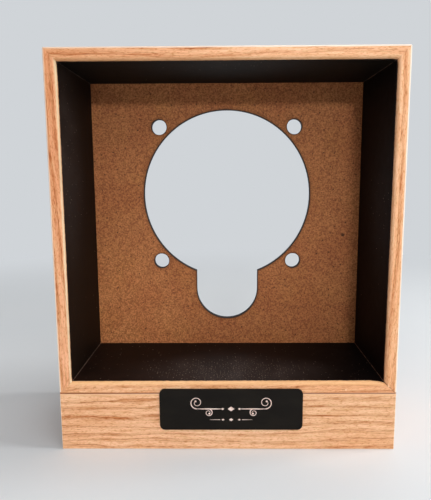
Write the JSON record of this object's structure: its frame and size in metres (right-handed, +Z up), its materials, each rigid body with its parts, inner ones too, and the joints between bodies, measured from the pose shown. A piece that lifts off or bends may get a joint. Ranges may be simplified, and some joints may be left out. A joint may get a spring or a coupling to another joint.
{
  "type": "watch stand",
  "caption": "Free-standing mitred oak frame on a solid oak base, with a deep black-lined recess, a fibreboard panel cut out for a round panel clock and its knob, and a small black plate.",
  "frame": {"origin": "bottom centre of the footprint, on the surface the base stands on", "axes": "+X to the viewer's right along the front, +Y to the rear through the clock bore, +Z up"},
  "size_m": [0.14, 0.061, 0.163],
  "materials": {
    "oak_top_rail": "sanded oak with a thin satin oil finish",
    "oak_bottom_rail": "sanded oak with a thin satin oil finish",
    "oak_left_stile": "sanded oak with a thin satin oil finish",
    "oak_right_stile": "sanded oak with a thin satin oil finish",
    "oak_base": "sanded oak with a thin satin oil finish",
    "black_top_lining": "matt black-brown paint on thin board",
    "black_bottom_lining": "matt black-brown paint on thin board",
    "black_left_lining": "matt black-brown paint on thin board",
    "black_right_lining": "matt black-brown paint on thin board",
    "fibreboard_panel": "raw brown fibreboard with laser-charred cut edges",
    "steel_points": "bare rolled steel",
    "steel_screws": "bright zinc-plated steel",
    "black_plate": "satin black anodised, engraved through to a rose-gold layer",
    "adhesive_pad": "double-sided adhesive film"
  },
  "bodies": {
    "root": {"top_rail": "oak_top_rail", "bottom_rail": "oak_bottom_rail", "left_stile": "oak_left_stile", "right_stile": "oak_right_stile", "top_lining": "black_top_lining", "bottom_lining": "black_bottom_lining", "left_lining": "black_left_lining", "right_lining": "black_right_lining", "clock_panel": "fibreboard_panel", "top_panel_point_1": "steel_points", "top_panel_point_2": "steel_points", "bottom_panel_point_1": "steel_points", "bottom_panel_point_2": "steel_points", "left_panel_point_1": "steel_points", "left_panel_point_2": "steel_points", "right_panel_point_1": "steel_points", "right_panel_point_2": "steel_points", "base_block": "oak_base", "base_screw_left": "steel_screws", "base_screw_right": "steel_screws", "name_plate": "black_plate", "plate_adhesive_pad": "adhesive_pad"}
  },
  "joints": []
}
